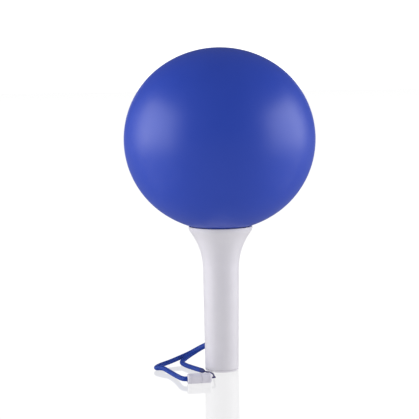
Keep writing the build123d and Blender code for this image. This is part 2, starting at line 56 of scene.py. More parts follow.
view = bpy.data.cameras.new("view")
view.lens = LENS
view.clip_start, view.clip_end = 0.01, 20
camera = bpy.data.objects.new("camera", view)
bpy.context.scene.collection.objects.link(camera)
camera.matrix_world = (
    Matrix.Translation(EYE)
    @ Matrix.Rotation(radians(90 - LOOK_DOWN), 4, "X")
    @ Matrix.Rotation(radians(LEAN), 4, "Z")
)
bpy.context.scene.camera = camera

# Clasp
# The cord's two ends meet in a small pull-apart barrel of pale plastic. The socket half takes
# the thick cord, and the plug half has a pin that the socket grips and a hole for the string.

MM = 0.001
CLASP_MIDDLE = (-0.0148, -0.0417, 0.00325)
CLASP_YAW = radians(12)
CLASP_PLACE = (
    Matrix.Translation(CLASP_MIDDLE)
    @ Matrix.Rotation(CLASP_YAW, 4, "Z")
    @ Matrix.Rotation(radians(90), 4, "Y")
)
CLASP_RADIUS = 3.25
CLASP_RINGS = 3.1


def pick(test):
    """Selects the vertices that pass the test, with the edges and faces between them."""
    bpy.ops.mesh.select_all(action="DESELECT")
    shape = bmesh.from_edit_mesh(bpy.context.object.data)
    for vert in shape.verts:
        vert.select = bool(test(vert.co))
    shape.select_flush(True)
    bmesh.update_edit_mesh(bpy.context.object.data)


def draw_out(rows):
    """Extrudes the selected ring through rows of radius and height, to a point at radius 0."""
    for (wide, low), (radius, height) in zip(rows, rows[1:]):
        bpy.ops.mesh.extrude_region_move(
            TRANSFORM_OT_translate={"value": (0, 0, (height - low) * MM)}
        )
        if radius:
            share = radius / wide
            bpy.ops.transform.resize(
                value=(share, share, 1), center_override=(0, 0, height * MM)
            )
        else:
            bpy.ops.mesh.merge(type="CENTER")


def turned(name, start, *runs, sides=96):
    """A piece turned about Z. Each run of rows, in millimetres, goes on from the first ring."""
    bpy.ops.object.select_all(action="DESELECT")
    radius, height = start
    bpy.ops.mesh.primitive_circle_add(
        vertices=sides, radius=radius * MM, location=(0, 0, height * MM)
    )
    piece = bpy.context.object
    piece.name = piece.data.name = name
    bpy.ops.object.transform_apply(location=True, rotation=True, scale=True)
    bpy.ops.object.mode_set(mode="EDIT")
    for run in runs:
        pick(
            lambda co: abs(hypot(co.x, co.y) - radius * MM) < 1e-7
            and abs(co.z - height * MM) < 1e-7
        )
        draw_out([start, *run])
    return piece


def close_up(piece, angle=35):
    """Joins the rows where they meet, turns every face outwards and smooths the round ones."""
    bpy.ops.mesh.select_all(action="SELECT")
    bpy.ops.mesh.remove_doubles(threshold=2e-7)
    bpy.ops.mesh.normals_make_consistent(inside=False)
    bpy.ops.object.mode_set(mode="OBJECT")
    bpy.ops.object.shade_smooth_by_angle(angle=radians(angle))
    return piece


def round_edge(centre, radius, start, end, steps):
    """Rows along an arc of this radius, from the angle start to the angle end."""
    rows = []
    for n in range(steps + 1):
        turn = radians(start + (end - start) * n / steps)
        rows.append((centre[0] + radius * cos(turn), centre[1] + radius * sin(turn)))
    return rows


def finish(name, light, dark, roughness, cloud, grain, relief, **sockets):
    """A finish whose tint, gloss and fine texture vary over the surface. The size of its
    clouds and grain, and the relief's height, are in millimetres."""
    material = bpy.data.materials.new(name)
    material.use_nodes = True
    nodes, links = material.node_tree.nodes, material.node_tree.links
    shader = nodes["Principled BSDF"]
    place = nodes.new("ShaderNodeTexCoord")
    clouds = nodes.new("ShaderNodeTexNoise")
    clouds.inputs["Scale"].default_value = 1 / (cloud * MM)
    clouds.inputs["Detail"].default_value = 3
    links.new(place.outputs["Object"], clouds.inputs["Vector"])
    tint = nodes.new("ShaderNodeMix")
    tint.data_type = "RGBA"
    for entry in tint.inputs:
        if entry.type == "RGBA":
            entry.default_value = (*(dark if entry.name == "A" else light), 1)
    links.new(clouds.outputs["Fac"], tint.inputs["Factor"])
    tinted = [entry for entry in tint.outputs if entry.type == "RGBA"][0]
    links.new(tinted, shader.inputs["Base Color"])
    grains = nodes.new("ShaderNodeTexNoise")
    grains.inputs["Scale"].default_value = 1 / (grain * MM)
    grains.inputs["Detail"].default_value = 4
    links.new(place.outputs["Object"], grains.inputs["Vector"])
    gloss = nodes.new("ShaderNodeMapRange")
    gloss.inputs["From Min"].default_value = 0.25
    gloss.inputs["From Max"].default_value = 0.75
    gloss.inputs["To Min"].default_value = roughness * 0.88
    gloss.inputs["To Max"].default_value = min(roughness * 1.12, 1)
    links.new(clouds.outputs["Fac"], gloss.inputs["Value"])
    links.new(gloss.outputs["Result"], shader.inputs["Roughness"])
    bump = nodes.new("ShaderNodeBump")
    bump.inputs["Distance"].default_value = relief * MM
    links.new(grains.outputs["Fac"], bump.inputs["Height"])
    links.new(bump.outputs["Normal"], shader.inputs["Normal"])
    for entry, value in sockets.items():
        shader.inputs[entry.replace("_", " ")].default_value = value
    return material


clasp_plastic = finish(
    "clasp_plastic", (0.74, 0.72, 0.80), (0.66, 0.64, 0.72), 0.42, 4, 0.35, 0.012,
    Specular_IOR_Level=0.45,
)

socket = turned(
    "clasp_socket_half", (CLASP_RADIUS, -3.0),
    [
        (CLASP_RADIUS, 0.2), (3.13, 0.3), (3.13, 0.45), (CLASP_RADIUS, 0.55),
        (CLASP_RADIUS, 1.05), (3.1, 1.2), (2.3, 1.2), (2.18, 1.05), (2.18, -4.0), (0, -4.0),
    ],
    [
        (CLASP_RADIUS, -4.6), (CLASP_RINGS, -4.7), (CLASP_RINGS, -5.0), (CLASP_RADIUS, -5.1),
        (CLASP_RADIUS, -5.6), (CLASP_RINGS, -5.7), (CLASP_RINGS, -6.0), (CLASP_RADIUS, -6.1),
        *round_edge((2.15, -6.7), 1.1, 0, -90, 8),
        (1.9, -7.8), (1.65, -7.55), (1.65, -5.8), (0, -5.8),
    ],
)
close_up(socket)
socket.data.transform(CLASP_PLACE)
socket.data.materials.append(clasp_plastic)
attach(socket, "grip")
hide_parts("clasp_socket")

plug = turned(
    "clasp_plug_half", (CLASP_RADIUS, 3.0),
    [
        (CLASP_RADIUS, 4.6), (CLASP_RINGS, 4.7), (CLASP_RINGS, 5.0), (CLASP_RADIUS, 5.1),
        (CLASP_RADIUS, 5.6), (CLASP_RINGS, 5.7), (CLASP_RINGS, 6.0), (CLASP_RADIUS, 6.1),
        *round_edge((2.15, 6.7), 1.1, 0, 90, 8),
        (0.9, 7.8), (0.6, 7.55), (0.6, 5.8), (0, 5.8),
    ],
    [
        (CLASP_RADIUS, 1.45), (3.1, 1.3), (2.1, 1.3), (2.1, -0.9), (2.02, -1.1),
        (2.02, -1.9), (2.1, -2.1), (2.1, -3.2), (1.6, -3.7), (0, -3.7),
    ],
)
close_up(plug)
plug.data.transform(CLASP_PLACE)
plug.data.materials.append(clasp_plastic)
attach(plug, "plug")
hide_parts("clasp_plug")

# Wrist cord
# A round braid of blue polyester, 3.2 mm thick. It goes out from the clasp's socket to the tip
# of the loop, back behind the grip, round the pin in the strap lug, and forward again along
# the floor to the ferrule.

CORD_RADIUS = 0.0016
BRAID_PITCH = 0.0016
BRAID_BUNDLES = 8
BRAID_DEPTH = 0.00024
CORD_ROUTE = [
    (-0.020473, -0.042906, 0.00325),
    (-0.024092, -0.043675, 0.00325),
    (-0.0266, -0.0386, 0.0029),
    (-0.0286, -0.0302, 0.0021),
    (-0.0318, -0.0204, 0.0017),
    (-0.0350, -0.0116, 0.0017),
    (-0.0390, -0.0046, 0.0026),
    (-0.0446, -0.0016, 0.0017),
    (-0.0410, 0.0062, 0.0022),
    (-0.0356, 0.0132, 0.0026),
    (-0.0294, 0.0220, 0.0035),
    (-0.0214, 0.0302, 0.0054),
    (-0.0120, 0.0320, 0.0104),
    (-0.0030, 0.0252, 0.0146),
    (0.0045, 0.0180, 0.0152),
    (0.0004, 0.0131, 0.0152),
    (-0.0056, 0.0182, 0.0149),
    (-0.0123, 0.0237, 0.0110),
    (-0.0184, 0.0252, 0.0070),
    (-0.0238, 0.0226, 0.0039),
    (-0.0276, 0.0170, 0.0017),
    (-0.0246, 0.0086, 0.0016),
    (-0.0202, 0.0006, 0.0016),
    (-0.0136, -0.0096, 0.0016),
]


def spline_points(name, route):
    """Points close together along the smooth spline whose control points are the route's."""
    curve = bpy.data.curves.new(name, "CURVE")
    curve.dimensions = "3D"
    spline = curve.splines.new("NURBS")
    spline.points.add(len(route) - 1)
    for point, place in zip(spline.points, route):
        point.co = (*place, 1)
    spline.order_u = 3
    spline.use_endpoint_u = True
    spline.resolution_u = 24
    line = bpy.data.objects.new(name, curve)
    bpy.context.scene.collection.objects.link(line)
    bpy.context.view_layer.update()
    graph = bpy.context.evaluated_depsgraph_get()
    mesh = bpy.data.meshes.new_from_object(line.evaluated_get(graph))
    points = [vert.co.copy() for vert in mesh.vertices]
    bpy.data.objects.remove(line)
    bpy.data.meshes.remove(mesh)
    return points


def even_steps(points, step):
    """The same line in even steps, each with how far along the line it is."""
    ways = [0.0]
    for a, b in zip(points, points[1:]):
        ways.append(ways[-1] + (b - a).length)
    count = round(ways[-1] / step)
    places, at = [], 0
    for n in range(count + 1):
        way = ways[-1] * n / count
        while at < len(ways) - 2 and ways[at + 1] < way:
            at += 1
        share = (way - ways[at]) / max(ways[at + 1] - ways[at], 1e-12)
        places.append((points[at].lerp(points[at + 1], min(share, 1.0)), way))
    return places


UNWRAP_LENGTH = 0.01


def yarn_tube(name, points, step, sides, yarn):
    """A closed tube along the points. yarn gives its radius, and how far out of the surface
    the thread lies there, from the way along it and the angle round it."""
    places = even_steps(points, step)
    mesh = bpy.data.meshes.new(name)
    shape = bmesh.new()
    height = shape.verts.layers.float.new("thread")
    unwrap = shape.loops.layers.uv.new("unwrap")
    side = Vector((0, 0, 1))
    rings = []
    for n, (place, way) in enumerate(places):
        before = places[max(n - 1, 0)][0]
        after = places[min(n + 1, len(places) - 1)][0]
        along = (after - before).normalized()
        side = (side - along * side.dot(along)).normalized()
        across = along.cross(side)
        ring = []
        for k in range(sides):
            turn = 2 * pi * k / sides
            radius, relief = yarn(way, turn)
            vert = shape.verts.new(place + (side * cos(turn) + across * sin(turn)) * radius)
            vert[height] = relief
            ring.append(vert)
        rings.append((ring, way))
    for (low, way_low), (high, way_high) in zip(rings, rings[1:]):
        for k in range(sides):
            j = (k + 1) % sides
            face = shape.faces.new((low[k], low[j], high[j], high[k]))
            face.smooth = True
            corners = ((k, way_low), (k + 1, way_low), (k + 1, way_high), (k, way_high))
            for loop, (u, v) in zip(face.loops, corners):
                loop[unwrap].uv = (u / sides, v / UNWRAP_LENGTH)
    shape.faces.new(list(reversed(rings[0][0])))
    shape.faces.new(rings[-1][0])
    bmesh.ops.recalc_face_normals(shape, faces=shape.faces)
    shape.to_mesh(mesh)
    shape.free()
    piece = bpy.data.objects.new(name, mesh)
    bpy.context.scene.collection.objects.link(piece)
    return piece


def braid(way, turn):
    """Bundles of yarn, eight each way round, that pass over and under each other."""
    right = BRAID_BUNDLES * turn / (2 * pi) + way / BRAID_PITCH
    left = BRAID_BUNDLES * turn / (2 * pi) - way / BRAID_PITCH
    right_over = int(right // 1 + left // 1) % 2
    mine, other = (right, left) if right_over else (left, right)
    across = abs(sin(pi * mine))
    along = abs(sin(pi * other))
    relief = across**0.6 * (0.5 + 0.5 * along**0.5)
    return CORD_RADIUS - BRAID_DEPTH * (1 - relief), relief


def yarn_finish(name, thread, groove_shade, roughness, twist):
    """Dyed yarn, with painted shade that darkens it down between the bundles where the thread
    lies low, and fine filaments along them at this twist in degrees."""
    material = bpy.data.materials.new(name)
    material.use_nodes = True
    nodes, links = material.node_tree.nodes, material.node_tree.links
    shader = nodes["Principled BSDF"]
    shader.inputs["Roughness"].default_value = roughness
    shader.inputs["Sheen Weight"].default_value = 0.06
    shader.inputs["Sheen Roughness"].default_value = 0.4
    shader.inputs["Specular IOR Level"].default_value = 0.3
    relief = nodes.new("ShaderNodeAttribute")
    relief.attribute_name = "thread"
    # Painted shade: the yarn's colour darkens to the groove shade where the thread lies low,
    # between bundles or strands.
    dye_and_groove_shade = nodes.new("ShaderNodeValToRGB")
    dye_and_groove_shade.color_ramp.elements[0].color = (*groove_shade, 1)
    dye_and_groove_shade.color_ramp.elements[0].position = 0.1
    dye_and_groove_shade.color_ramp.elements[1].color = (*thread, 1)
    dye_and_groove_shade.color_ramp.elements[1].position = 0.75
    links.new(relief.outputs["Fac"], dye_and_groove_shade.inputs["Fac"])
    links.new(dye_and_groove_shade.outputs["Color"], shader.inputs["Base Color"])
    unwrap = nodes.new("ShaderNodeUVMap")
    unwrap.uv_map = "unwrap"
    lie = nodes.new("ShaderNodeMapping")
    lie.inputs["Rotation"].default_value = (0, 0, radians(twist))
    links.new(unwrap.outputs["UV"], lie.inputs["Vector"])
    filaments = nodes.new("ShaderNodeTexWave")
    filaments.inputs["Scale"].default_value = 22
    filaments.inputs["Distortion"].default_value = 1.5
    filaments.inputs["Detail"].default_value = 2
    links.new(lie.outputs["Vector"], filaments.inputs["Vector"])
    bump = nodes.new("ShaderNodeBump")
    bump.inputs["Distance"].default_value = 0.00003
    bump.inputs["Strength"].default_value = 0.6
    links.new(filaments.outputs["Fac"], bump.inputs["Height"])
    links.new(bump.outputs["Normal"], shader.inputs["Normal"])
    return material


cord_points = spline_points("cord_line", CORD_ROUTE)
cord = yarn_tube("wrist_cord_braid", cord_points, step=0.0002, sides=48, yarn=braid)
# The second colour is the painted shade down between the braid's bundles.
cord.data.materials.append(
    yarn_finish("blue_yarn", (0.005, 0.052, 0.40), (0.001, 0.010, 0.10), 0.5, 42)
)
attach(cord, "grip")
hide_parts("wrist_cord")

# Ferrule
# A dark sleeve crimped on the end of the thick cord, where the string comes out of it. It
# tapers from the cord's width to a neck round the string.

FERRULE_LENGTH = 0.0036
CORD_TAIL = Vector(CORD_ROUTE[-1])
TAIL_WAY = (CORD_TAIL - Vector(CORD_ROUTE[-2])).normalized()
FERRULE_END = CORD_TAIL + TAIL_WAY * FERRULE_LENGTH

sleeve = turned(
    "cord_sleeve", (1.6, 0.35),
    [
        (1.6, 0.6), (1.5, 0.7), (1.47, 0.95), (1.52, 1.05), (1.4, 1.6), (1.27, 1.7),
        (1.24, 1.95), (1.28, 2.05), (1.1, 2.7), (0.98, 2.8), (0.9, 3.1), (0.86, 3.4),
        (0.8, 3.6), (0.57, 3.6), (0.55, 3.2), (0, 3.2),
    ],
    [(1.52, 0.1), (1.4, 0), (0, 0)],
    sides=48,
)
close_up(sleeve, 50)
sleeve.data.transform(
    Matrix.Translation(CORD_TAIL) @ TAIL_WAY.to_track_quat("Z", "Y").to_matrix().to_4x4()
)
sleeve.data.materials.append(
    finish("sleeve_rubber", (0.02, 0.035, 0.20), (0.012, 0.02, 0.13), 0.5, 1.5, 0.2, 0.01)
)
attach(sleeve, "grip")
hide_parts("cord_ferrule")
[tuple(place) for place, way in even_steps(cord_points, 0.001)]

# Wrist string
# A thin dark string of two twisted strands. It runs from the ferrule past the front of the
# foot and into the clasp's plug, which pulls it along when the clasp comes apart.

STRING_RADIUS = 0.00055
STRAND_TURN = 0.0024
STRING_ROUTE = [
    tuple(FERRULE_END),
    (-0.010666, -0.014134, 0.0016),
    (-0.0080, -0.0143, 0.0012),
    (-0.0062, -0.0172, 0.0010),
    (-0.0056, -0.0222, 0.0010),
    (-0.0054, -0.0280, 0.0014),
    (-0.0051, -0.0334, 0.0022),
    (-0.0047, -0.0379, 0.0030),
    (-0.005703, -0.039766, 0.00325),
    (-0.009127, -0.040494, 0.00325),
]


def two_strands(way, turn):
    """Two strands twisted round each other."""
    relief = abs(cos(turn - 2 * pi * way / STRAND_TURN))
    return STRING_RADIUS * (0.72 + 0.28 * relief**0.7), relief


string_points = spline_points("string_line", STRING_ROUTE)
string = yarn_tube(
    "wrist_string_twist", string_points, step=0.00015, sides=24, yarn=two_strands
)
# The second colour is the painted shade down between the two strands.
string.data.materials.append(
    yarn_finish("dark_yarn", (0.05, 0.04, 0.16), (0.012, 0.01, 0.05), 0.6, 30)
)
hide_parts("wrist_string")
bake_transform(string)
[tuple(place) for place, way in even_steps(string_points, 0.0005)]

# Base cap
# The foot of the stick, moulded in the same pale plastic as the grip. Its hollow plug goes up
# into the grip, where three lugs lock it with a part turn, and a rubber ring seals it.

CAP_PLUG = 9.35
CAP_LUGS = (6.2, 8.0)
CAP_LUG_RADIUS = 10.1


def raise_lugs(radius, out, low, high, half_angle):
    """Three even lugs, from faces of a turned piece at this radius that are moved out."""

    def on_lug(co):
        turn = (degrees(atan2(co.y, co.x)) + 60) % 120 - 60
        return (
            abs(hypot(co.x, co.y) - radius * MM) < 1e-6
            and low * MM - 1e-7 < co.z < high * MM + 1e-7
            and abs(turn) < half_angle + 0.1
        )

    pick(on_lug)
    bpy.ops.mesh.extrude_region_move()
    share = out / radius
    bpy.ops.transform.resize(value=(share, share, 1), center_override=(0, 0, 0))


grip_plastic = finish(
    "grip_plastic", (0.75, 0.73, 0.78), (0.70, 0.68, 0.73), 0.36, 9, 0.5, 0.008,
    Specular_IOR_Level=0.5,
)
cap = turned(
    "base_cap_moulding", (11.0, 0.9),
    [
        (11.0, 1.1), (10.93, 1.24), (10.8, 1.3), (CAP_PLUG, 1.3), (CAP_PLUG, 2.6),
        (8.0, 2.6), (8.0, 4.1), (CAP_PLUG, 4.1), (CAP_PLUG, CAP_LUGS[0]),
        (CAP_PLUG, CAP_LUGS[1]), (CAP_PLUG, 12.2), (9.1, 12.5), (7.6, 12.5), (7.6, 9.45),
        (6.0, 9.45), (6.0, 2.0), (4.35, 2.0), (4.35, 0.35), (4.45, 0.1), (4.7, 0),
        *round_edge((10.1, 0.9), 0.9, -90, 0, 10),
    ],
    sides=180,
)
raise_lugs(CAP_PLUG, CAP_LUG_RADIUS, *CAP_LUGS, 10)
close_up(cap)
cap.data.materials.append(grip_plastic)
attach(cap, "cap")
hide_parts("base_cap")

# Power button
# A soft button in the middle of the foot, flush inside the cap's edge, with a shallow dish and
# a plain raised ring to feel for. Its flange keeps it in, and its stem pushes the switch.

button = turned(
    "power_button_pad", (5.7, 2.25),
    [(5.7, 2.85), (5.5, 3.05), (1.5, 3.05), (1.5, 4.4), (1.35, 4.55), (0, 4.55)],
    [
        (5.5, 2.05), (4.2, 2.05), (4.2, 1.3),
        *round_edge((3.7, 1.3), 0.5, 0, -90, 6),
        (3.3, 0.86), (3.0, 0.9), (2.8, 0.8), (2.6, 0.76), (2.4, 0.8), (2.2, 0.92),
        (1.5, 0.98), (0.7, 1.0), (0, 1.0),
    ],
    sides=96,
)
close_up(button, 50)
button.data.materials.append(
    finish("button_rubber", (0.30, 0.30, 0.33), (0.25, 0.25, 0.28), 0.62, 2, 0.25, 0.015)
)
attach(button, "button")
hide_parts("power_button")

# Seal, switch and spring
# A rubber ring sits in the plug's groove. The square switch hangs under its round board, which
# a brass ring clamps in the plug, and a steel spring stands on the board under the cell.


def dress(material, *names):
    """Gives parts that keep their own shape this finish."""
    for name in names:
        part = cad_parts[name]
        if part.material_slots:
            for place in part.material_slots:
                place.material = material
        else:
            part.data.materials.append(material)


dress(
    finish("seal_rubber", (0.02, 0.02, 0.022), (0.012, 0.012, 0.013), 0.5, 2, 0.2, 0.01),
    "cap_seal",
)
dress(
    finish("switch_nylon", (0.035, 0.035, 0.04), (0.022, 0.022, 0.025), 0.48, 2, 0.15, 0.01),
    "switch_body", "switch_plunger",
)
brass = finish(
    "brass", (0.82, 0.58, 0.24), (0.66, 0.43, 0.16), 0.28, 1.5, 0.12, 0.004, Metallic=1.0
)
dress(brass, "ring_nut", "top_contact", "ground_strip")
steel = finish(
    "bright_steel", (0.62, 0.62, 0.64), (0.48, 0.48, 0.51), 0.24, 1.2, 0.1, 0.003,
    Metallic=1.0,
)
dress(steel, "contact_spring", "battery_button", "carrier_screws")


def node_of(material, kind):
    """The first node of this kind in the material."""
    return [node for node in material.node_tree.nodes if node.type == kind][0]


def pattern_tint(material, colour):
    """Puts a pattern's colour in place of the light tint of a finish."""
    for entry in node_of(material, "MIX").inputs:
        if entry.type == "RGBA" and entry.name == "B":
            material.node_tree.links.new(colour, entry)


def circuit_board(name, mask, track):
    """Lacquered board whose copper tracks show through as paler lines."""
    material = finish(name, mask, mask, 0.3, 2, 0.3, 0.004)
    tracks = material.node_tree.nodes.new("ShaderNodeTexBrick")
    tracks.inputs["Scale"].default_value = 260
    tracks.inputs["Mortar Size"].default_value = 0.08
    tracks.inputs["Color1"].default_value = (*mask, 1)
    tracks.inputs["Color2"].default_value = (*[0.85 * part for part in mask], 1)
    tracks.inputs["Mortar"].default_value = (*track, 1)
    place = node_of(material, "TEX_COORD")
    material.node_tree.links.new(place.outputs["Object"], tracks.inputs["Vector"])
    pattern_tint(material, tracks.outputs["Color"])
    return material


dress(
    circuit_board("green_board", (0.012, 0.10, 0.035), (0.03, 0.22, 0.07)),
    "switch_board",
)

# Grip
# One moulding of pale plastic, with a very faint taper up the grip and a flared cup at the
# top. The cup's rim stands just under the globe, and its edge is rounded.

FOOT_RADIUS = 11.0
GRIP_TOP = (11.75, 67.45)
FLARE_ARC = 41.0
FLARE_CENTRE = GRIP_TOP[0] + FLARE_ARC
SEAT_HEIGHT = 93.39
CUP_WALL = 1.6
BORE = 9.5
BORE_TOP = 81.45
BORE_GROOVE = 10.25


def flare(height, wall=0.0):
    """The flare's radius at this height, this far inside its outer face."""
    arc = FLARE_ARC + wall
    return FLARE_CENTRE - sqrt(arc**2 - (height - GRIP_TOP[1]) ** 2)


def heights(low, high, steps):
    """Even steps from low to high, without low itself."""
    return [low + (high - low) * n / steps for n in range(1, steps + 1)]


def straight(start, end, steps):
    """Rows along a straight side."""
    return [
        (
            start[0] + (end[0] - start[0]) * n / steps,
            start[1] + (end[1] - start[1]) * n / steps,
        )
        for n in range(1, steps + 1)
    ]


grip = turned(
    "grip_moulding", (FOOT_RADIUS, 1.6),
    [
        *straight((FOOT_RADIUS, 1.6), GRIP_TOP, 24),
        *[(flare(z), z) for z in heights(GRIP_TOP[1], 91.8, 36)],
        (20.14, 92.4), (20.46, 93.0), (20.7, 93.6), (20.87, 94.2), (20.97, 94.8), (21.0, 95.2),
        *round_edge((20.5, 95.2), 0.5, 15, 90, 6),
        (19.95, 95.6), (19.6, 95.4), (19.4, 95.1), (19.4, SEAT_HEIGHT), (17.27, SEAT_HEIGHT),
        (17.27, 90.25), (flare(90.25, CUP_WALL), 90.25),
        *[(flare(z, CUP_WALL), z) for z in reversed(heights(BORE_TOP, 90.0, 12))],
        (flare(BORE_TOP, CUP_WALL), BORE_TOP), (BORE, BORE_TOP), (BORE, 8.1),
        (BORE_GROOVE, 8.1), (BORE_GROOVE, 6.1), (BORE, 6.1), (BORE, 1.4), (10.8, 1.4),
        (10.93, 1.46), (FOOT_RADIUS, 1.6),
    ],
    sides=160,
)
close_up(grip)
grip.data.materials.append(grip_plastic)
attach(grip, "grip")
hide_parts("grip_shell")

# Strap lug
# A pale plastic lug is let into the back of the grip near its foot. The cord goes round a
# steel pin that stands between the lug's two ears.

LUG_HALF = 3.5
LUG_HEIGHT = 8.0
LUG_ROOT = (10.35, 12.2)
EAR = 1.8
EAR_FEET = (11.2, 17.4)
EYE_HEIGHT = 15.2
PIN_Y = 17.6


def ear(name, low):
    """A flat ear with a round end about the pin."""
    bpy.ops.object.select_all(action="DESELECT")
    bpy.ops.mesh.primitive_circle_add(
        vertices=64, radius=LUG_HALF * MM, fill_type="NGON", location=(0, PIN_Y * MM, low * MM)
    )
    piece = bpy.context.object
    piece.name = name
    bpy.ops.object.transform_apply(location=True, rotation=True, scale=True)
    bpy.ops.object.mode_set(mode="EDIT")
    bpy.ops.mesh.select_all(action="SELECT")
    bpy.ops.mesh.bisect(
        plane_co=(0, PIN_Y * MM, 0), plane_no=(0, 1, 0), use_fill=False, clear_inner=True
    )
    pick(lambda co: abs(co.y - PIN_Y * MM) < 1e-6)
    bpy.ops.mesh.extrude_region_move(
        TRANSFORM_OT_translate={"value": (0, (LUG_ROOT[1] - 0.5 - PIN_Y) * MM, 0)}
    )
    bpy.ops.mesh.select_all(action="SELECT")
    bpy.ops.mesh.extrude_region_move(TRANSFORM_OT_translate={"value": (0, 0, EAR * MM)})
    bpy.ops.mesh.select_all(action="SELECT")
    bpy.ops.mesh.remove_doubles(threshold=1e-7)
    bpy.ops.mesh.normals_make_consistent(inside=False)
    bpy.ops.object.mode_set(mode="OBJECT")
    return piece


bpy.ops.object.select_all(action="DESELECT")
bpy.ops.mesh.primitive_cube_add(size=1, location=(0, sum(LUG_ROOT) / 2 * MM, EYE_HEIGHT * MM))
lug = bpy.context.object
lug.name = lug.data.name = "strap_lug_moulding"
lug.scale = (2 * LUG_HALF * MM, (LUG_ROOT[1] - LUG_ROOT[0]) * MM, LUG_HEIGHT * MM)
bpy.ops.object.transform_apply(location=True, rotation=True, scale=True)
for name, low in zip(("low_ear", "high_ear"), EAR_FEET):
    part = ear(name, low)
    joined = lug.modifiers.new(name, "BOOLEAN")
    joined.operation, joined.solver, joined.object = "UNION", "EXACT", part
    bpy.context.view_layer.objects.active = lug
    bpy.ops.object.modifier_apply(modifier=joined.name)
    bpy.data.objects.remove(part)
soft_edges = lug.modifiers.new("soft_edges", "BEVEL")
soft_edges.width, soft_edges.segments, soft_edges.limit_method = 0.35 * MM, 3, "ANGLE"
soft_edges.angle_limit = radians(40)
bpy.ops.object.modifier_apply(modifier=soft_edges.name)
bpy.ops.object.select_all(action="DESELECT")
lug.select_set(True)
bpy.ops.object.shade_smooth_by_angle(angle=radians(35))
lug.data.materials.append(grip_plastic)
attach(lug, "grip")
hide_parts("strap_lug")

pin = turned(
    "strap_lug_pin", (1.4, 11.4),
    [(1.4, 19.1), (1.3, 19.35), (1.05, 19.47), (0.6, 19.5), (0, 19.5)],
    [(1.4, 11.3), (1.3, 11.05), (1.05, 10.93), (0.6, 10.9), (0, 10.9)],
    sides=48,
)
close_up(pin, 50)
pin.data.materials.append(steel)
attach(pin, "grip")
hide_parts("strap_pin")

# Cell
# One round lithium cell stands in the grip. Its sleeve is shrunk on, dark below with a pale
# band at the top, and carries no printing.

CELL_FOOT, CELL_TOP = 0.016, 0.080

cell_sleeve = finish(
    "cell_sleeve", (0.10, 0.12, 0.16), (0.07, 0.085, 0.12), 0.3, 5, 0.4, 0.006
)
cell_nodes, cell_links = cell_sleeve.node_tree.nodes, cell_sleeve.node_tree.links
upright = cell_nodes.new("ShaderNodeSeparateXYZ")
band = cell_nodes.new("ShaderNodeValToRGB")
band.color_ramp.interpolation = "CONSTANT"
band.color_ramp.elements[0].color = (0.05, 0.07, 0.12, 1)
band.color_ramp.elements[1].color = (0.55, 0.55, 0.53, 1)
band.color_ramp.elements[1].position = 0.7
along_cell = cell_nodes.new("ShaderNodeMapRange")
along_cell.inputs["From Min"].default_value = CELL_FOOT
along_cell.inputs["From Max"].default_value = CELL_TOP
cell_place = node_of(cell_sleeve, "TEX_COORD")
cell_links.new(cell_place.outputs["Object"], upright.inputs["Vector"])
cell_links.new(upright.outputs["Z"], along_cell.inputs["Value"])
cell_links.new(along_cell.outputs["Result"], band.inputs["Fac"])
pattern_tint(cell_sleeve, band.outputs["Color"])
dress(cell_sleeve, "battery_can")

# Lamp
# A plate across the top of the cell's bore carries a round board with four square lamps and
# small parts round its edge, held by three screws. A milky cover stands over the lamps.

dress(
    finish("lamp_carrier_nylon", (0.62, 0.62, 0.62), (0.55, 0.55, 0.55), 0.5, 4, 0.3, 0.01),
    "lamp_carrier", "lock_ring",
)
dress(circuit_board("white_board", (0.70, 0.70, 0.68), (0.58, 0.56, 0.50)), "led_board")
dress(
    finish("lamp_phosphor", (0.85, 0.68, 0.22), (0.80, 0.58, 0.15), 0.45, 1, 0.1, 0.01),
    "leds",
)
dress(
    finish("chip_epoxy", (0.03, 0.03, 0.03), (0.02, 0.02, 0.02), 0.4, 1, 0.1, 0.005),
    "board_parts",
)
dress(
    finish(
        "milky_cover", (0.86, 0.86, 0.85), (0.80, 0.80, 0.79), 0.45, 4, 0.3, 0.01,
        Transmission_Weight=0.25,
    ),
    "lamp_cover",
)

# Globe
# A hollow ball of blue plastic, satin outside and a little flat from top to bottom. Its open
# neck goes down into the cup, where three lugs lock it with a part turn. It sits on a ring of
# black foam in the cup.

SIDE_ARC = 58.5
SIDE_CENTRE = 4.0
CROWN_ARC = 65.76
CROWN_DROP = 6.06
GLOBE_CENTRE = 152.50
NECK = 14.0
NECK_LUGS = (87.95, 89.95)
NECK_LUG_RADIUS = 15.1
GLOBE_WALL = 1.2


def bulb_rows(inset, neck, steps):
    """Rows up one face of the globe from its neck to the top, this far inside the outer one."""
    crown, side = CROWN_ARC - inset, SIDE_ARC - inset
    meet = degrees(atan2(CROWN_DROP, SIDE_CENTRE))
    start = degrees(acos(neck / crown))
    under = round_edge((0, GLOBE_CENTRE + CROWN_DROP), crown, -start, -meet, steps)
    middle = round_edge((SIDE_CENTRE, GLOBE_CENTRE), side, -meet, meet, 2 * steps)
    top = round_edge((0, GLOBE_CENTRE - CROWN_DROP), crown, meet, 89.2, steps)
    return [*under, *middle[1:], *top[1:], (0, GLOBE_CENTRE - CROWN_DROP + crown)]


def soft_throat(rows, radius):
    """Eases the corner where the ball meets its neck."""
    return [(radius, rows[0][1] - 0.8), (radius + 0.12, rows[0][1] - 0.25), *rows[1:]]


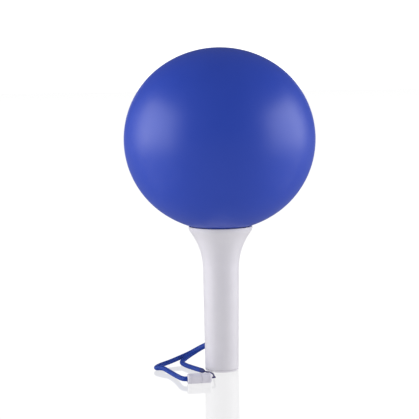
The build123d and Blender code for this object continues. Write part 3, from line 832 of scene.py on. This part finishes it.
globe = turned(
    "globe_ball", (NECK, NECK_LUGS[0]),
    [(NECK, NECK_LUGS[1]), *soft_throat(bulb_rows(0, NECK, 24), NECK)],
    [
        (NECK - GLOBE_WALL, NECK_LUGS[0]), (NECK - GLOBE_WALL, NECK_LUGS[1]),
        *bulb_rows(GLOBE_WALL, NECK - GLOBE_WALL, 16),
    ],
    sides=180,
)
raise_lugs(NECK, NECK_LUG_RADIUS, *NECK_LUGS, 12)
close_up(globe)
globe.data.materials.append(
    finish(
        "globe_satin", (0.016, 0.058, 0.47), (0.014, 0.052, 0.44), 0.40, 30, 0.6, 0.006,
        Specular_IOR_Level=0.45,
    )
)
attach(globe, "globe")
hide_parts("globe_shell")
dress(
    finish("gasket_foam", (0.05, 0.05, 0.055), (0.03, 0.03, 0.033), 0.9, 1, 0.35, 0.08),
    "globe_gasket",
)

# Light and floor
# The stick stands on a white gloss sheet that mirrors a white room all round, with a white
# card behind it. A wide soft box lights it from each side. What shines on the stick itself is
# dimmer, and the sheet is clear from underneath.

BOX_SIZE = 1.1
BOX_DISTANCE = 1.0
BALL_MIDDLE = Vector((0, 0, 0.1525))
ONE_BOUNCE = 2.5
SHEET_SIZE = 40
SHEET_SHINE = 0.26
SHEET_GLOW = 1.0
SHEET_GLOW_ON_STICK = 0.35
VEIL_HEIGHT = 0.00005
CARD_MIDDLE = (0, 1.6, 0.225)
CARD_SIZE = (1.1, 0.45, 1)
CARD_GLOW = 1.5

scene = bpy.context.scene
scene.view_settings.view_transform = "Standard"
scene.view_settings.look = "None"
world = bpy.data.worlds.new("room")
scene.world = world
world.use_nodes = True
room = world.node_tree
room.nodes.clear()


def room_light(name, colour, strength):
    """Light that comes evenly from all round the room."""
    light = room.nodes.new("ShaderNodeBackground")
    light.name = name
    light.inputs["Color"].default_value = (*colour, 1)
    light.inputs["Strength"].default_value = strength
    return light


def room_sum(operation, first, second):
    """The output of a maths node on two outputs, or on an output and a number."""
    node = room.nodes.new("ShaderNodeMath")
    node.operation = operation
    room.links.new(first, node.inputs[0])
    if isinstance(second, float):
        node.inputs[1].default_value = second
    else:
        room.links.new(second, node.inputs[1])
    return node.outputs[0]


def either(tree, share, first, second):
    """The output of a mix of two shaders."""
    node = tree.nodes.new("ShaderNodeMixShader")
    tree.links.new(share, node.inputs["Fac"])
    tree.links.new(first, node.inputs[1])
    tree.links.new(second, node.inputs[2])
    return node.outputs[0]


# The white room shows straight behind the stick, and where the sheet mirrors it. A ray that
# the sheet mirrors is known by the clear veil that lies on the sheet, which it goes through.
ray = room.nodes.new("ShaderNodeLightPath")
air = room_light("air", (1.0, 1.0, 1.02), 0.50)
dim = room_light("dim", (1.0, 1.0, 1.02), 0.14)
white = room_light("white", (1, 1, 1), 1.35)
first_bounce = room_sum("LESS_THAN", ray.outputs["Ray Depth"], ONE_BOUNCE)
through_veil = room_sum("MULTIPLY", ray.outputs["Transparent Depth"], first_bounce)
mirrored = room_sum("MULTIPLY", through_veil, ray.outputs["Is Glossy Ray"])
seen = room_sum("MAXIMUM", ray.outputs["Is Camera Ray"], mirrored)
seen.node.use_clamp = True
unseen = either(room, ray.outputs["Is Glossy Ray"], air.outputs[0], dim.outputs[0])
room_end = room.nodes.new("ShaderNodeOutputWorld")
room.links.new(either(room, seen, unseen, white.outputs[0]), room_end.inputs["Surface"])

for name, way, power in (
    ("left_box", (-0.975, -0.125, 0.08), 10.4), ("right_box", (0.994, -0.037, 0.04), 10.0),
):
    box = bpy.data.lights.new(name, "AREA")
    box.shape = "RECTANGLE"
    box.size = box.size_y = BOX_SIZE
    box.energy = power
    lamp = bpy.data.objects.new(name, box)
    lamp.visible_camera = False
    scene.collection.objects.link(lamp)
    lamp.location = BALL_MIDDLE + Vector(way).normalized() * BOX_DISTANCE
    lamp.rotation_euler = Vector(way).to_track_quat("Z", "Y").to_euler()


def stage_plane(name, size, place, material_name, turn=0):
    """A flat stage piece, whose own material has no nodes yet."""
    bpy.ops.object.select_all(action="DESELECT")
    bpy.ops.mesh.primitive_plane_add(size=size, location=place, rotation=(radians(turn), 0, 0))
    plane = bpy.context.object
    plane.name = name
    material = bpy.data.materials.new(material_name)
    material.use_nodes = True
    material.node_tree.nodes.clear()
    plane.data.materials.append(material)
    return plane


def glow(tree, strength):
    """The output of an even white glow."""
    node = tree.nodes.new("ShaderNodeEmission")
    node.inputs["Strength"].default_value = strength
    return node.outputs[0]


def end_with(tree, shader):
    """Makes this output the material's surface."""
    end = tree.nodes.new("ShaderNodeOutputMaterial")
    tree.links.new(shader, end.inputs["Surface"])


sheet = stage_plane("white_sheet", SHEET_SIZE, (0, 0, 0), "sheet_white")
tree = sheet.active_material.node_tree
sheet_ray = tree.nodes.new("ShaderNodeLightPath")
sheet_light = either(
    tree, sheet_ray.outputs["Is Glossy Ray"],
    glow(tree, SHEET_GLOW), glow(tree, SHEET_GLOW_ON_STICK),
)
sheet_gloss = tree.nodes.new("ShaderNodeBsdfGlossy")
sheet_gloss.inputs["Roughness"].default_value = 0.08
sheet_mix = tree.nodes.new("ShaderNodeMixShader")
sheet_mix.inputs["Fac"].default_value = SHEET_SHINE
tree.links.new(sheet_light, sheet_mix.inputs[1])
tree.links.new(sheet_gloss.outputs[0], sheet_mix.inputs[2])
face = tree.nodes.new("ShaderNodeNewGeometry")
clear = tree.nodes.new("ShaderNodeBsdfTransparent")
end_with(
    tree,
    either(tree, face.outputs["Backfacing"], sheet_mix.outputs[0], clear.outputs[0]),
)

veil = stage_plane("sheet_veil", SHEET_SIZE, (0, 0, VEIL_HEIGHT), "veil_clear")
tree = veil.active_material.node_tree
end_with(tree, tree.nodes.new("ShaderNodeBsdfTransparent").outputs[0])

card = stage_plane("white_card", 1, CARD_MIDDLE, "card_white", turn=90)
card.visible_camera = False
card.scale = CARD_SIZE
tree = card.active_material.node_tree
end_with(tree, glow(tree, CARD_GLOW))
